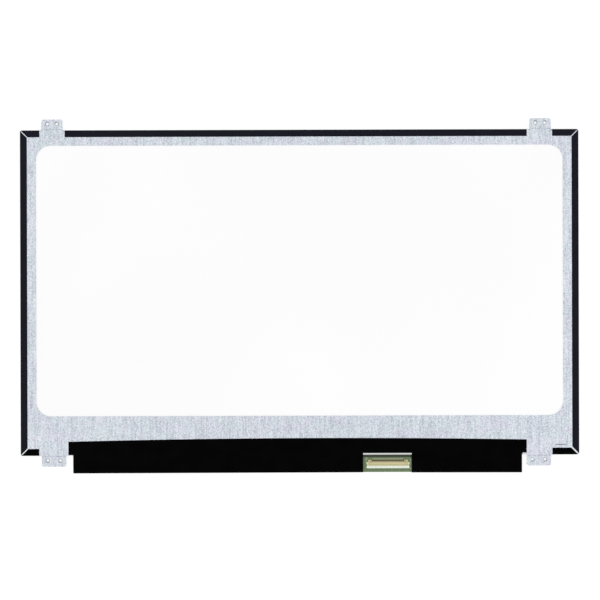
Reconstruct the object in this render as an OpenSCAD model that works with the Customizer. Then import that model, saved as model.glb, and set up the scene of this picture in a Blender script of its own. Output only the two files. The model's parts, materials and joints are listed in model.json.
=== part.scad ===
// Display panel of a laptop, lying on its screen with its back facing up.
// X runs along its width, Y towards its upper edge, Z from the screen to the back.
// The origin is under the middle of the whole outline. All sizes are in millimetres.

/* [Screen] */
// Width of the viewing area
view_w = 344.2; // [280:0.1:400]
// Height of the viewing area
view_h = 193.5; // [150:0.1:240]
// Border from the viewing area to the body's left and right edges
side_border = 7.65; // [7:0.05:12]
// Border from the viewing area to the body's upper edge
top_border = 5.6; // [5.2:0.1:12]
// Border from the viewing area to the body's lower edge
bottom_border = 10.4; // [10:0.1:18]

/* [Display cell] */
// Thickness of each of the two glasses
glass_t = 0.4; // [0.25:0.05:0.7]
// Thickness of each polarizer
polarizer_t = 0.2; // [0.1:0.02:0.3]
// Distance from the edge of the filter glass to each polarizer's edge
polarizer_inset = 1; // [0.5:0.1:1.4]
// Strip of the array glass left bare for the driver chips
driver_ledge = 3.6; // [3.4:0.1:4.2]
// Distance from the body's lower edge to the array glass
ledge_setback = 1.3; // [0.8:0.1:1.6]
// Gap between the display cell and the frame around it
cell_gap = 0.3; // [0.1:0.05:0.6]
// Number of driver chips, each with its own flexible film
driver_count = 4; // [2:1:6]
// Length of a driver chip
driver_chip_l = 21; // [14:0.5:24]
// Width of a flexible film between glass and circuit board
flex_w = 27; // [16:0.5:34]
// Thickness of a flexible film
flex_t = 0.08; // [0.05:0.01:0.12]

/* [Backlight] */
// Distance that the films and the light guide reach past the viewing area
film_margin = 2; // [1:0.1:2.4]
// Thickness of each prism sheet
prism_t = 0.16; // [0.1:0.02:0.3]
// Thickness of the diffuser sheet
diffuser_t = 0.12; // [0.08:0.02:0.25]
// Thickness of the light guide
guide_t = 0.7; // [0.6:0.05:1.2]
// Thickness of the reflector sheet
reflector_t = 0.19; // [0.1:0.01:0.3]
// Thickness of the rim tape under the display cell
rim_tape_t = 0.08; // [0.05:0.01:0.15]
// Gap around the films inside the frame
film_gap = 0.3; // [0.1:0.05:0.5]
// Length of one light diode
led_l = 3.8; // [3:0.1:4.5]
// Distance between the middles of two light diodes
led_pitch = 8.2; // [6:0.1:12]
// Height of one light diode
led_h = 0.6; // [0.4:0.05:0.65]
// Depth of one light diode, along the light
led_depth = 0.85; // [0.6:0.05:1.1]

/* [Frame and back plate] */
// Wall of the moulded frame around the display cell
frame_wall = 0.8; // [0.6:0.05:1.2]
// Thickness of the sheet metal
plate_t = 0.3; // [0.2:0.05:0.4]
// Height of the plate's folded rim, from the plate's back
rim_h = 1.4; // [1.2:0.1:1.6]
// Metal left beside the window, at its left and right
window_side = 10.05; // [8:0.05:16]
// Metal left above the window
window_top = 9.85; // [8:0.05:16]
// Metal left below the window
window_bottom = 25.3; // [16:0.1:40]
// Corner radius of the window
window_r = 9.5; // [4:0.5:16]

/* [Fixing tabs] */
// Distance that the tabs reach past the body
tab_reach = 7.15; // [6.6:0.05:10]
// Step of the tabs from the plate's back towards the screen
tab_step = 0.7; // [0.4:0.05:1]
// Width of the two upper tabs
upper_tab_w = 13.8; // [13:0.1:20]
// Width of the two lower tabs
lower_tab_w = 15.8; // [14:0.1:17]
// From the body's left edge to the middle of the upper left tab
upper_left_tab = 20.45; // [18:0.05:40]
// From the body's right edge to the middle of the upper right tab
upper_right_tab = 24.5; // [18:0.05:40]
// From the body's left edge to the middle of the lower left tab
lower_left_tab = 21.25; // [20.5:0.05:22]
// From the body's right edge to the middle of the lower right tab
lower_right_tab = 25.85; // [25:0.05:26.5]
// Diameter of the screw holes
hole_d = 2.1; // [1.6:0.1:2.6]
// Distance between the two holes of an upper tab
upper_hole_gap = 6; // [5:0.1:9]
// Distance between the two holes of a lower tab
lower_hole_gap = 8.2; // [5:0.1:9.5]
// From the body's edge to the middle of an upper tab's holes
upper_hole_out = 4.25; // [3.5:0.05:4.6]
// From the body's edge to the middle of a lower tab's holes
lower_hole_out = 3.2; // [3.1:0.1:4.6]

/* [Tapes] */
// Thickness of every black tape
tape_t = 0.08; // [0.05:0.01:0.15]
// Width of the edge tapes on the back
edge_tape_w = 4.4; // [3:0.1:6]
// Width of the edge tapes on the screen side
front_tape_w = 3.6; // [3:0.1:4.5]
// Slit between two edge tapes that meet at a corner
mitre_slit = 0.56; // [0.2:0.02:1]
// The same slit at the lower right corner, where the tapes meet less closely
wide_slit = 0.94; // [0.2:0.02:1.2]
// Bare metal beside each tab, where the edge tapes stop
tape_relief = 1.25; // [1:0.05:2.5]
// Height of the cover tape on the plate, at its left end
cover_rise_left = 9; // [6:0.1:12]
// Height of the cover tape on the plate, at its right end
cover_rise_right = 9.75; // [6:0.05:12]
// Extra height of the cover tape halfway along its upper edge
cover_crown = 1.6; // [0:0.1:3]

/* [Circuit board] */
// From the body's left edge to the cover tape over the board
board_left_inset = 33.4; // [33.2:0.1:60]
// From the body's right edge to the cover tape over the board
board_right_inset = 36.5; // [36.4:0.1:60]
// Distance that the board reaches past the body's lower edge
board_drop = 11.1; // [10.6:0.1:16]
// Thickness of the board
board_t = 0.8; // [0.5:0.1:1]
// Distance that the cover tape reaches past the board's edges
cover_lap = 0.6; // [0.3:0.1:1]
// Tallest part on the board, apart from the cable socket
part_h = 0.9; // [0.8:0.05:1]

/* [Cable socket] */
// Number of contacts
contact_count = 40; // [20:2:50]
// Distance between the middles of two contacts
contact_pitch = 0.5; // [0.4:0.1:0.6]
// Width of one contact
contact_w = 0.2; // [0.14:0.02:0.26]
// From the board's right end to the middle of the socket
socket_inset = 86; // [40:0.1:100]
// Height of the socket above the board
socket_h = 1.1; // [1:0.05:1.3]
// From the body's lower edge to the mouth of the socket
socket_mouth = 8.6; // [8.4:0.1:9]
// Depth of the socket's housing
housing_d = 5.4; // [4.8:0.1:5.6]
// Bare board left of the socket, in the cover tape's window
socket_margin_left = 2.3; // [1:0.1:4]
// Bare board right of the socket, in that window
socket_margin_right = 1.5; // [1:0.1:4]

/* [Hidden] */

$fn = 48;
bite = 1;             // how far a cutting shape runs past the surface that it cuts

// Outline of the body
body_w = view_w + 2 * side_border;
body_h = view_h + top_border + bottom_border;
cover_drop = board_drop + cover_lap;
outline_h = tab_reach + body_h + cover_drop;
body_left = -body_w / 2;
body_right = body_w / 2;
body_top = outline_h / 2 - tab_reach;
body_bottom = body_top - body_h;

// Height of each layer's lower face, from the screen to the back
face_z = tape_t;
filter_z = face_z + polarizer_t;
array_z = filter_z + glass_t;
rear_polarizer_z = array_z + glass_t;
rim_tape_z = rear_polarizer_z + polarizer_t;
film_z = rim_tape_z + rim_tape_t;
lower_prism_z = film_z + prism_t;
diffuser_z = lower_prism_z + prism_t;
guide_z = diffuser_z + diffuser_t;
reflector_z = guide_z + guide_t;
plate_z = reflector_z + reflector_t;
back_z = plate_z + plate_t;
tape_back_z = back_z + tape_t;

// Display cell
cell_inset = tape_t + plate_t + frame_wall + cell_gap;
cell_left = body_left + cell_inset;
cell_right = body_right - cell_inset;
cell_top = body_top - cell_inset;
array_bottom = body_bottom + ledge_setback;
filter_bottom = array_bottom + driver_ledge;
chip_w = 1;           // width of a driver chip
chip_t = 0.25;        // thickness of a driver chip
chip_setback = 0.5;   // from the filter glass to a driver chip
flex_bond = 1.5;      // length of a film's bond, on the glass and on the board

// Films and light guide, with locating ears at both sides
film_left = -view_w / 2 - film_margin;
film_right = view_w / 2 + film_margin;
film_top = body_top - top_border + film_margin;
film_bottom = body_bottom + bottom_border - film_margin;
ear_w = 9;            // width of an ear
ear_out = 1.4;        // distance that an ear stands out
ear_count = 2;        // ears on each side
rim_tape_lap = 0.8;   // distance that the rim tape reaches over the films
rim_tape_setback = 0.3; // from the polarizer's edge to the rim tape

// Light diodes on their flexible strip
led_gap = 0.1;        // between the light guide and the diodes
led_play = 0.1;       // free space round the diodes in their bay
led_end = 2;          // strip left free at both ends of the row
led_flex_t = 0.1;
led_flex_z = plate_z - led_flex_t;
led_flex_w = 4.2;     // width of the strip that carries the diodes
strip_top = film_bottom - led_gap;
strip_bottom = strip_top - led_flex_w;
led_y = strip_top - led_depth;
led_count = floor((film_right - film_left - led_l - 2 * led_end) / led_pitch) + 1;

// Folded rim of the plate, and the latches that hold it on the frame
bend_in = 0.15;       // inner radius of the rim's bend
bend_r = plate_t + bend_in;
rim_in = tape_t + bend_r;     // from the body's edge to the flat part of the plate
rim_z = back_z - rim_h;
rim_gap = 0.05;       // between the rim's edge and the step under it
corner_gap = 3;       // from a corner of the body to the end of a rim
latch_w = 4;
long_latches = 5;     // latches on the upper edge
short_latches = 3;    // latches on the left and on the right edge
latch_play = 0.15;    // free space round a latch in its hole
latch_rise = 0.3;     // from the rim's edge to a latch
latch_drop = 0.15;    // from a latch to the rim's bend
latch_z = rim_z + latch_rise;
latch_top_z = back_z - bend_r - latch_drop;

// Tabs, each as [side, middle, width, distance between its holes, holes' distance from the body]
tabs = [
  ["top", body_left + upper_left_tab, upper_tab_w, upper_hole_gap, upper_hole_out],
  ["top", body_right - upper_right_tab, upper_tab_w, upper_hole_gap, upper_hole_out],
  ["bottom", body_left + lower_left_tab, lower_tab_w, lower_hole_gap, lower_hole_out],
  ["bottom", body_right - lower_right_tab, lower_tab_w, lower_hole_gap, lower_hole_out]
];
// Distance from each tab's middle to the middle of its gap in the edge tape, towards the right
tape_shift = [0.2, -0.55, -0.2, -0.5];
tab_r = 1.3;          // corner radius of a tab
tab_z = back_z - tab_step - plate_t;
joggle_l = 1;         // length of the double bend at a tab's root
joggle_steps = 8;
relief_w = 0.6;       // width of the notch beside a tab
relief_d = 0.75;      // depth of that notch
collar_w = 0.35;      // wall of the drawn collar round a screw hole
collar_h = 0.4;       // height of that collar
flare_r = 0.4;        // widening of a screw hole at its entry
flare_h = 0.2;        // depth of that widening

// Slit in the plate, near its lower right corner
slit_l = 7.4;
slit_w = 0.4;
slit_side = 11.5;     // from the body's right edge to the middle of the slit
slit_rise = 6.5;      // from the body's lower edge to that middle
slit_x = body_right - slit_side;
slit_y = body_bottom + slit_rise;

// Circuit board
flex_rise = 0.4;      // from the array glass's face to the board's face
board_z = array_z + flex_rise;
board_back_z = board_z + board_t;
board_gap = 0.2;      // between the body's lower edge and the board
board_top = body_bottom - board_gap;
board_bottom = body_bottom - board_drop;
cover_left = body_left + board_left_inset;
cover_right = body_right - board_right_inset;
board_left = cover_left + cover_lap;
board_right = cover_right - cover_lap;
board_mid_x = (board_left + board_right) / 2;
board_mid_y = (board_top + board_bottom) / 2;
board_r = 0.8;
tooling_r = 1.2;      // radius of the half-round tooling notches in the board's ends
gate_gap = 1;         // between the board's ends and the walls of the frame beside it
flex_pitch = (board_right - board_left) / driver_count;

// Tail of the strip, which plugs into the backlight socket
tail_w = 6;
tail_inset = 14;      // from the board's left end to the middle of the tail
tail_x = board_left + tail_inset;
tail_play = 0.3;      // free space beside the tail where it leaves the body
tail_lead = 0.2;      // from the body's lower edge to the tail's soft S
tail_fall = 1.4;      // length of that S
tail_start_y = body_bottom - tail_lead;
tail_end_y = tail_start_y - tail_fall;
tail_rise = 0.3;      // from the board's back to the tail in its socket
tail_z = board_back_z + tail_rise;
tail_plug = 1.8;      // length of the tail inside its socket
light_socket_wall = 1.5;  // from the tail's edge to the side of its socket
light_socket_w = tail_w + 2 * light_socket_wall;
light_socket_d = 3.2;
light_socket_gap = 0.2; // from the tail's S to its socket
light_socket_y = tail_end_y - light_socket_gap;

// Cable socket
socket_x = board_right - socket_inset;
contact_span = (contact_count - 1) * contact_pitch;
housing_end = 3.15;   // from the middle of the outermost contact to the housing's side
housing_w = contact_span + 2 * housing_end;
shell_t = 0.15;
shell_arm = 0.85;     // width of the shell beside the housing
shell_w = housing_w + 2 * shell_arm;
shell_bar = 1.85;     // width of the shell's bar over the mouth
shell_arm_l = 4;      // length of the shell's arms
shell_notch_w = 0.45; // width of the notch between the bar and each arm
shell_notch_l = 0.55; // length of that notch
mouth_y = body_bottom - socket_mouth;
housing_back_y = mouth_y + housing_d;
housing_top_z = board_back_z + socket_h - shell_t;
socket_ear_w = 2.3;   // width of the housing's two ears, beside the contacts' feet
socket_ear_l = 0.8;   // distance that the ears stand out behind the contacts
ledge_l = 0.65;       // length of the low ledge between the ears
ledge_h = 0.35;       // depth of that ledge below the housing's top
recess_w = housing_w - 2 * socket_ear_w;
recess_y = housing_back_y - socket_ear_l;
contact_t = 0.12;
contact_rise = 0.3;   // from the board to the contacts inside the mouth
contact_setback = 2;  // from the body's lower edge to the contacts' feet
contact_foot_y = body_bottom - contact_setback;
contact_tip = 0.9;    // from the mouth to the contacts' tips
mouth_h = 0.5;        // height of the mouth
mouth_d = 3;          // depth of the mouth
mouth_side = 1;       // free space in the mouth beside the contacts
window_left = socket_x - shell_w / 2 - socket_margin_left;
window_right = socket_x + shell_w / 2 + socket_margin_right;
window_rise = 1.2;    // bare metal above the body's lower edge, in the cover tape's window

// Round blind holes in the housing's ends, and the shell's solder feet
socket_pin_d = 0.5;
socket_pin_h = 0.4;
socket_pin_side = 1.65; // from the housing's side to the middle of the hole
socket_pin_back = 1.1;  // from the ear's end to that middle
shell_foot = 0.4;

// Parts on the board, each given by its middle along X
small_part_h = 0.75;  // height of the smaller chips
chip_bevel = 0.4;     // bevel at a chip's first corner
cap_proud = 0.03;     // height of the metal caps over a ceramic part's body
lock_h = 0.2;         // depth of the step for the backlight socket's lock bar
timing_x = board_mid_x;
timing_w = 7;
chip_step = 12;       // between the middles of neighbouring chips
memory_x = timing_x - chip_step;
memory_w = 3;
memory_d = 2;
gamma_x = memory_x - chip_step;
gamma_w = 4;
driver_x = tail_x + chip_step;
inductor_w = 4;
inductor_base_h = 0.25;
inductor_r = 0.5;     // corner radius of a coil's base
inductor_core_d = 2.6;
inductor_rim_d = 3.8;
inductor_step = 8;    // between a coil and the next part
inductor_x = [driver_x + inductor_step, driver_x + 2 * inductor_step, gamma_x - inductor_step];
cap_l = 1.6;
cap_w = 0.8;
cap_pitch = 2.6;
cap_count = 6;
cap_x = driver_x + 3 * inductor_step;
cap_edge = 1.5;       // from the board's long edges to the capacitors
small_cap_l = 1;
small_cap_w = 0.5;
small_cap_pitch = 2.4;
resistor_h = 0.35;
resistor_x = timing_x + chip_step;
resistor_pitch = 1.6;
resistor_count = 8;

// Cover tape over the board
cover_bottom = body_bottom - cover_drop;
cover_wing = 2.75;    // distance that the tape on the plate reaches past the board's cover
hem_left = 0.5;       // from the board's edge to the tape's hem, at its left end
hem_by_window_left = 0.1;   // the same, at the left of the socket's window
hem_by_window_right = 0.4;  // the same, at the right of that window
hem_corner = 0.6;     // cut across the hem's left corner
cover_step_left = 0.4;  // from the body's lower edge to the tape's left wing
cover_step_right = 1.3; // from the body's lower edge to the tape's right wing
cover_steps = 24;     // straight pieces in the tape's curved upper edge
cover_play = 0.05;    // between the tallest parts and the tape
cover_fold = 0.2;     // from the body's lower edge to the tape's fold
cover_ramp = 1;       // from the body's lower edge to the end of the tape's slope over the board
cover_ramp_y = body_bottom - cover_ramp;
tent_z = board_back_z + part_h + cover_play;

// Front tape over the bare glass, the films and the board's face
front_cover_h = 7;    // height of the front tape above the body's lower edge
front_seam = 0.5;     // slit between the front tape and the edge tapes
front_lead = 1;       // from the body's lower edge to the end of the slope under the films
front_ramp_y = body_bottom - front_lead;
front_ramp_l = 0.5;   // length of the front tape's ramp onto the board
front_step_y = front_ramp_y - flex_bond;

// Box between two corners
module block(x0, x1, y0, y1, z0, z1) {
  translate([x0, y0, z0]) cube([x1 - x0, y1 - y0, z1 - z0]);
}

// Rectangle between two corners
module panel(x0, x1, y0, y1) {
  translate([x0, y0]) square([x1 - x0, y1 - y0]);
}

// Rectangle with rounded corners
module soft_panel(x0, x1, y0, y1, r) {
  panel(x0 + r, x1 - r, y0, y1);
  panel(x0, x1, y0 + r, y1 - r);
  for (x = [x0 + r, x1 - r], y = [y0 + r, y1 - r]) translate([x, y]) circle(r);
}

// Flat shape raised to height z, with thickness t
module layer(z, t) {
  translate([0, 0, z]) linear_extrude(t) children();
}

// Section drawn in Y and Z, stretched along X
module along_x(x0, x1) {
  translate([x0, 0, 0]) rotate([90, 0, 90]) linear_extrude(x1 - x0) children();
}

// Section drawn in X and Z, stretched along Y
module along_y(y0, y1) {
  translate([0, y1, 0]) rotate([90, 0, 0]) linear_extrude(y1 - y0) children();
}

// One edge of the body, with X running along it and Y pointing into the body
module at_edge(side) {
  if (side == "bottom") translate([body_left, body_bottom, 0]) children();
  if (side == "top") translate([body_left, body_top, 0]) mirror([0, 1, 0]) children();
  if (side == "left") translate([body_left, body_bottom, 0]) mirror([1, -1, 0]) children();
  if (side == "right")
    translate([body_right, body_bottom, 0]) mirror([1, 0, 0]) mirror([1, -1, 0]) children();
}

function edge_l(side) = side == "top" || side == "bottom" ? body_w : body_h;

// The root of a tab, with X along the edge and Y pointing into the body
module at_tab(tab) {
  at_edge(tab[0]) translate([tab[1] - body_left, 0, 0]) children();
}

// Smooth step from 0 to 1
function s_curve(u) = (1 - cos(180 * u)) / 2;

// Strip of thickness t whose lower face falls or climbs from [y0, z0] to [y1, z1] in a soft S
module s_strip(y0, z0, y1, z1, t) {
  line = [for (i = [0:joggle_steps])
    [y0 + (y1 - y0) * i / joggle_steps, z0 + (z1 - z0) * s_curve(i / joggle_steps)]];
  polygon(concat(line, [for (i = [joggle_steps:-1:0]) [line[i][0], line[i][1] + t]]));
}

// Outline shared by the films, the light guide and, with a gap, their pocket in the frame
module film_outline(gap = 0) {
  panel(film_left - gap, film_right + gap, film_bottom - gap, film_top + gap);
  for (i = [1:ear_count]) {
    y = film_bottom + (film_top - film_bottom) * i / (ear_count + 1);
    panel(film_left - ear_out - gap, film_right + ear_out + gap, y - ear_w / 2 - gap,
      y + ear_w / 2 + gap);
  }
}

// Section of the plate's folded rim, in Y and Z from the body's edge
module rim_section() {
  panel(tape_t, tape_t + plate_t, rim_z, back_z - bend_r);
  intersection() {
    translate([rim_in, back_z - bend_r]) difference() {
      circle(bend_r);
      circle(bend_r - plate_t);
    }
    panel(tape_t, rim_in, back_z - bend_r, back_z);
  }
}

// Latches along one edge, or, with some play, the holes that they fill
module latches(side, count, play = 0) {
  at_edge(side) for (i = [1:count]) {
    x = edge_l(side) * i / (count + 1);
    block(x - latch_w / 2 - play, x + latch_w / 2 + play, tape_t - (play > 0 ? bite : 0),
      rim_in + (play > 0 ? 0 : bite), latch_z - play, latch_top_z + play);
  }
}

// Latches on the three edges that carry no circuit board
module all_latches(play = 0) {
  latches("top", long_latches, play);
  latches("left", short_latches, play);
  latches("right", short_latches, play);
}

// One tab: a double bend at its root, rounded ends and two screw holes with drawn collars
module fixing_tab(w, hole_gap, hole_out) {
  root = relief_d + bite / 2;
  difference() {
    union() {
      intersection() {
        along_x(-w / 2, w / 2) {
          panel(0, root, plate_z, back_z);
          s_strip(0, plate_z, -joggle_l, tab_z, plate_t);
          panel(-tab_reach, -joggle_l, tab_z, tab_z + plate_t);
        }
        layer(tab_z - bite, tab_step + plate_t + 2 * bite) {
          panel(-w / 2, w / 2, tab_r - tab_reach, root);
          panel(tab_r - w / 2, w / 2 - tab_r, -tab_reach, root);
          for (x = [tab_r - w / 2, w / 2 - tab_r]) translate([x, tab_r - tab_reach]) circle(tab_r);
        }
      }
      for (x = [-hole_gap / 2, hole_gap / 2]) translate([x, -hole_out, tab_z - collar_h])
        cylinder(d = hole_d + 2 * collar_w, h = collar_h + plate_t / 2);
    }
    for (x = [-hole_gap / 2, hole_gap / 2]) translate([x, -hole_out, tab_z]) {
      translate([0, 0, -collar_h - bite]) cylinder(d = hole_d, h = collar_h + plate_t + 2 * bite);
      translate([0, 0, plate_t - flare_h])
        cylinder(d1 = hole_d, d2 = hole_d + 2 * flare_r, h = flare_h);
    }
  }
}

// Galvanised sheet behind the backlight: a window, folded rims and the four fixing tabs
module back_plate() {
  color("lightsteelblue") {
    difference() {
      union() {
        layer(plate_z, plate_t)
          panel(body_left + rim_in, body_right - rim_in, body_bottom + rim_in, body_top - rim_in);
        for (side = ["top", "bottom", "left", "right"])
          at_edge(side) along_x(corner_gap, edge_l(side) - corner_gap) rim_section();
      }
      layer(plate_z - bite, plate_t + 2 * bite)
        soft_panel(body_left + window_side, body_right - window_side,
          body_bottom + window_bottom, body_top - window_top, window_r);
      translate([slit_x, slit_y]) layer(plate_z - bite, plate_t + 2 * bite) {
        panel((slit_w - slit_l) / 2, (slit_l - slit_w) / 2, -slit_w / 2, slit_w / 2);
        for (x = [(slit_w - slit_l) / 2, (slit_l - slit_w) / 2]) translate([x, 0]) circle(d = slit_w);
      }
      for (tab = tabs) at_tab(tab)
        block(-tab[2] / 2 - relief_w, tab[2] / 2 + relief_w, -bite, relief_d,
          rim_z - bite, back_z + bite);
      block(tail_x - tail_w / 2 - tail_play, tail_x + tail_w / 2 + tail_play,
        body_bottom - bite, body_bottom + rim_in, rim_z - bite, back_z + bite);
      all_latches(latch_play);
    }
    for (tab = tabs) at_tab(tab) fixing_tab(tab[2], tab[3], tab[4]);
  }
}

// White sheet that closes the back of the light guide and shows through the plate's window
module reflector_sheet() {
  color("white") layer(reflector_z, reflector_t) film_outline();
}

// Clear plate that spreads the diodes' light over the screen
module light_guide() {
  color("aliceblue") layer(guide_z, guide_t) film_outline();
}

module diffuser_sheet() {
  color("whitesmoke") layer(diffuser_z, diffuser_t) film_outline();
}

module lower_prism_sheet() {
  color("gainsboro") layer(lower_prism_z, prism_t) film_outline();
}

module upper_prism_sheet() {
  color("lightgray") layer(film_z, prism_t) film_outline();
}

// White frame: walls and a ledge for the display cell, a pocket for the films, and the diodes' bay
module moulded_frame() {
  step_z = rim_z - rim_gap;
  color("ghostwhite") {
    difference() {
      union() {
        layer(face_z, step_z - face_z)
          panel(body_left + tape_t, body_right - tape_t, body_bottom + tape_t, body_top - tape_t);
        layer(step_z, plate_z - step_z)
          panel(body_left + rim_in, body_right - rim_in, body_bottom + rim_in, body_top - rim_in);
      }
      // Pocket for the cell, open to the board between two walls
      layer(face_z - bite, film_z - face_z + bite) {
        panel(cell_left - cell_gap, cell_right + cell_gap, array_bottom - cell_gap,
          cell_top + cell_gap);
        panel(board_left - gate_gap, board_right + gate_gap, body_bottom - bite, array_bottom);
      }
      // Pocket for the films and the light guide
      layer(film_z - bite, plate_z - film_z + 2 * bite) film_outline(film_gap);
      // Bay for the diodes
      block(film_left - film_gap, film_right + film_gap, led_y - led_play, film_bottom,
        led_flex_z - led_h - led_play, plate_z + bite);
      // Seat of the diodes' strip and its tail
      block(film_left - film_gap, film_right + film_gap, strip_bottom - led_play, film_bottom,
        led_flex_z, plate_z + bite);
      block(tail_x - tail_w / 2 - tail_play, tail_x + tail_w / 2 + tail_play, body_bottom - bite,
        strip_bottom, led_flex_z, plate_z + bite);
    }
    all_latches();
  }
}

// Flexible strip behind the diodes, with the tail that plugs into the board
module led_flex() {
  color("khaki") {
    layer(led_flex_z, led_flex_t) panel(film_left, film_right, strip_bottom, strip_top);
    along_x(tail_x - tail_w / 2, tail_x + tail_w / 2) {
      panel(tail_start_y, strip_bottom + bite, led_flex_z, led_flex_z + led_flex_t);
      s_strip(tail_start_y, led_flex_z, tail_end_y, tail_z, led_flex_t);
      panel(light_socket_y - tail_plug, tail_end_y, tail_z, tail_z + led_flex_t);
    }
  }
}

// Row of white diodes that shine into the light guide's lower edge
module light_diodes() {
  color("lightyellow") for (i = [0:led_count - 1])
    translate([(i - (led_count - 1) / 2) * led_pitch, 0, 0])
      block(-led_l / 2, led_l / 2, led_y, led_y + led_depth, led_flex_z - led_h, led_flex_z);
}

// Sticky ring that holds the display cell on the frame and the films
module rim_tape() {
  edge = cell_inset + polarizer_inset + rim_tape_setback;
  color("black") layer(rim_tape_z, rim_tape_t) difference() {
    panel(body_left + edge, body_right - edge,
      filter_bottom + polarizer_inset + rim_tape_setback, body_top - edge);
    panel(film_left + rim_tape_lap, film_right - rim_tape_lap, film_bottom + rim_tape_lap,
      film_top - rim_tape_lap);
  }
}

// Outline of both polarizers
module polarizer_outline() {
  panel(cell_left + polarizer_inset, cell_right - polarizer_inset,
    filter_bottom + polarizer_inset, cell_top - polarizer_inset);
}

module rear_polarizer() {
  color("slategray") layer(rear_polarizer_z, polarizer_t) polarizer_outline();
}

module front_polarizer() {
  color("darkslategray") layer(face_z, polarizer_t) polarizer_outline();
}

// Glass with the pixel circuits, longer at the bottom to carry the driver chips
module array_glass() {
  color("lightcyan") layer(array_z, glass_t) panel(cell_left, cell_right, array_bottom, cell_top);
}

module filter_glass() {
  color("paleturquoise") layer(filter_z, glass_t)
    panel(cell_left, cell_right, filter_bottom, cell_top);
}

// Chips bonded to the bare strip of the array glass
module driver_chips() {
  y = filter_bottom - chip_setback;
  color("dimgray") for (i = [0:driver_count - 1])
    translate([board_left + (i + 0.5) * flex_pitch, 0, 0])
      block(-driver_chip_l / 2, driver_chip_l / 2, y - chip_w, y, array_z - chip_t, array_z);
}

// Films that join the array glass to the board, each in a soft S
module driver_flexes() {
  glass_z = array_z - flex_t;
  end_z = board_z - flex_t;
  color("darkorange") for (i = [0:driver_count - 1])
    translate([board_left + (i + 0.5) * flex_pitch, 0, 0])
      along_x(-flex_w / 2, flex_w / 2) {
        panel(array_bottom, array_bottom + flex_bond, glass_z, array_z);
        s_strip(array_bottom, glass_z, board_top, end_z, flex_t);
        panel(board_top - flex_bond, board_top, end_z, board_z);
      }
}

// Long narrow board below the body
module circuit_board() {
  color("darkseagreen") layer(board_z, board_t) difference() {
    soft_panel(board_left, board_right, board_bottom, board_top, board_r);
    for (x = [board_left, board_right]) translate([x, board_mid_y]) circle(tooling_r);
  }
}

// Insulator of the cable socket: a mouth away from the body, and two ears beside the contacts' feet
module socket_housing() {
  color("tan") difference() {
    block(socket_x - housing_w / 2, socket_x + housing_w / 2, mouth_y + shell_t, housing_back_y,
      board_back_z, housing_top_z);
    translate([socket_x, 0, board_back_z + contact_rise])
      block(-contact_span / 2 - mouth_side, contact_span / 2 + mouth_side, mouth_y - bite,
        mouth_y + mouth_d, 0, mouth_h);
    translate([socket_x, 0, 0]) {
      block(-recess_w / 2, recess_w / 2, recess_y, housing_back_y + bite,
        board_back_z - bite, housing_top_z + bite);
      block(-recess_w / 2, recess_w / 2, recess_y - ledge_l, recess_y + bite / 4,
        housing_top_z - ledge_h, housing_top_z + bite);
    }
    for (i = [0:contact_count - 1])
      translate([socket_x - contact_span / 2 + i * contact_pitch, 0, board_back_z])
        block(-contact_w / 2, contact_w / 2, mouth_y + mouth_d - bite / 4, recess_y + bite / 4,
          -bite, contact_rise + contact_t);
    // Blind holes in both ears
    for (side = [-1, 1])
      translate([socket_x + side * (housing_w / 2 - socket_pin_side),
        housing_back_y - socket_pin_back, housing_top_z - socket_pin_h])
        cylinder(d = socket_pin_d, h = socket_pin_h + bite);
  }
}

// Folded steel shell: a bar over the mouth, and an arm with a solder foot at each end
module socket_shell() {
  top_z = housing_top_z + shell_t;
  notch_y = mouth_y + shell_bar;
  color("silver") translate([socket_x, 0, 0]) {
    block(-shell_w / 2, shell_w / 2, mouth_y, notch_y, housing_top_z, top_z);
    for (side = [0, 1]) mirror([side, 0, 0]) {
      difference() {
        union() {
          block(shell_w / 2 - shell_arm, shell_w / 2, mouth_y, mouth_y + shell_arm_l,
            housing_top_z, top_z);
          block(shell_w / 2 - shell_t, shell_w / 2, mouth_y, mouth_y + shell_arm_l,
            board_back_z, top_z);
        }
        block(shell_w / 2 - shell_notch_w, shell_w / 2 + bite, notch_y, notch_y + shell_notch_l,
          board_back_z - bite, top_z + bite);
      }
      block(shell_w / 2 - shell_t, shell_w / 2 + shell_foot, notch_y + shell_notch_l,
        mouth_y + shell_arm_l, board_back_z, board_back_z + shell_t);
    }
  }
}

// Contacts of the cable socket: a foot on the board, a riser and a flat spring in the mouth
module socket_contacts() {
  color("gold") for (i = [0:contact_count - 1])
    translate([socket_x - contact_span / 2 + (i - 0.5) * contact_pitch, 0, board_back_z])
      translate([(contact_pitch - contact_w) / 2, 0, 0])
      along_x(0, contact_w) polygon([
        [contact_foot_y, 0],
        [contact_foot_y, contact_t],
        [recess_y, contact_t],
        [recess_y - contact_rise, contact_rise + contact_t],
        [mouth_y + contact_tip, contact_rise + contact_t],
        [mouth_y + contact_tip, contact_rise],
        [recess_y - contact_rise - contact_t, contact_rise],
        [recess_y - contact_t, 0]
      ]);
}

// Flat chip with a bevelled first corner
module flat_chip(x, y, w, d, h) {
  translate([x - w / 2, y - d / 2, board_back_z]) linear_extrude(h)
    polygon([[0, 0], [w, 0], [w, d], [chip_bevel, d], [0, d - chip_bevel]]);
}

// Ceramic part with a metal cap at each end, which stands a little proud of its body
module capped_part(x, y, l, w, h) {
  cap = l / 4;
  for (side = [-1, 1]) translate([x + side * (l - cap) / 2, y, board_back_z + h / 2])
    cube([cap, w, h], center = true);
  translate([x, y, board_back_z + h / 2])
    cube([l - cap, w - 2 * cap_proud, h - 2 * cap_proud], center = true);
}

// Chip that turns the incoming video into pixel data
module timing_chip() {
  color("black") flat_chip(timing_x, board_mid_y, timing_w, timing_w, part_h);
}

// Chip that sets the grey levels
module gamma_chip() {
  color("black") flat_chip(gamma_x, board_mid_y, gamma_w, gamma_w, small_part_h);
}

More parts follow.
